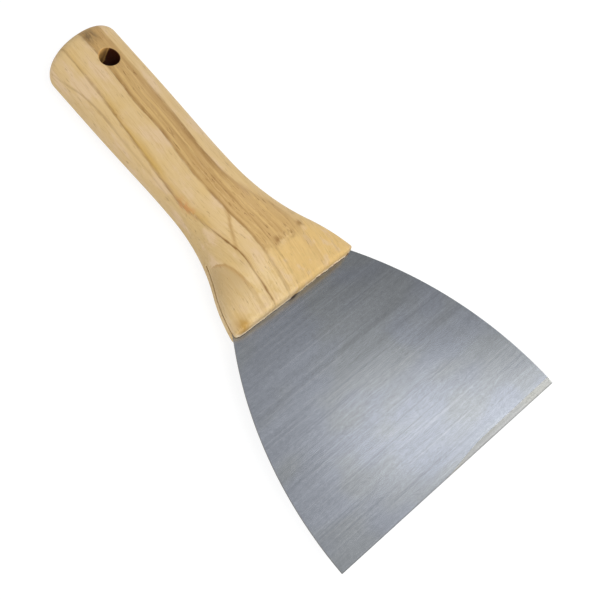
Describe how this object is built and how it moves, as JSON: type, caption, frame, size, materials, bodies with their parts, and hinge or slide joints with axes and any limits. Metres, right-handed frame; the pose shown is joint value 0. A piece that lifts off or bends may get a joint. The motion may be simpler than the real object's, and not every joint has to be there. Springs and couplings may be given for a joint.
{
  "type": "putty knife",
  "caption": "Putty knife with a fan-shaped steel blade bonded into a saw kerf in a turned wooden handle that flares to a wide, flat nose. A hanging hole is drilled through the grip.",
  "frame": {"origin": "middle of the whole tool's box, on the mid-plane of the blade", "axes": "+Y from the working edge to the butt, +Z out of the face with the ground bevel, +X to the corner where the bevel is widest"},
  "size_m": [0.1, 0.19, 0.0274],
  "materials": {
    "handle_wood": "sanded, bare",
    "blade_steel": "brushed across, along the working edge",
    "adhesive": "cured resin"
  },
  "bodies": {
    "root": {"handle": "handle_wood", "blade": "blade_steel", "tang_adhesive": "adhesive"}
  },
  "joints": []
}
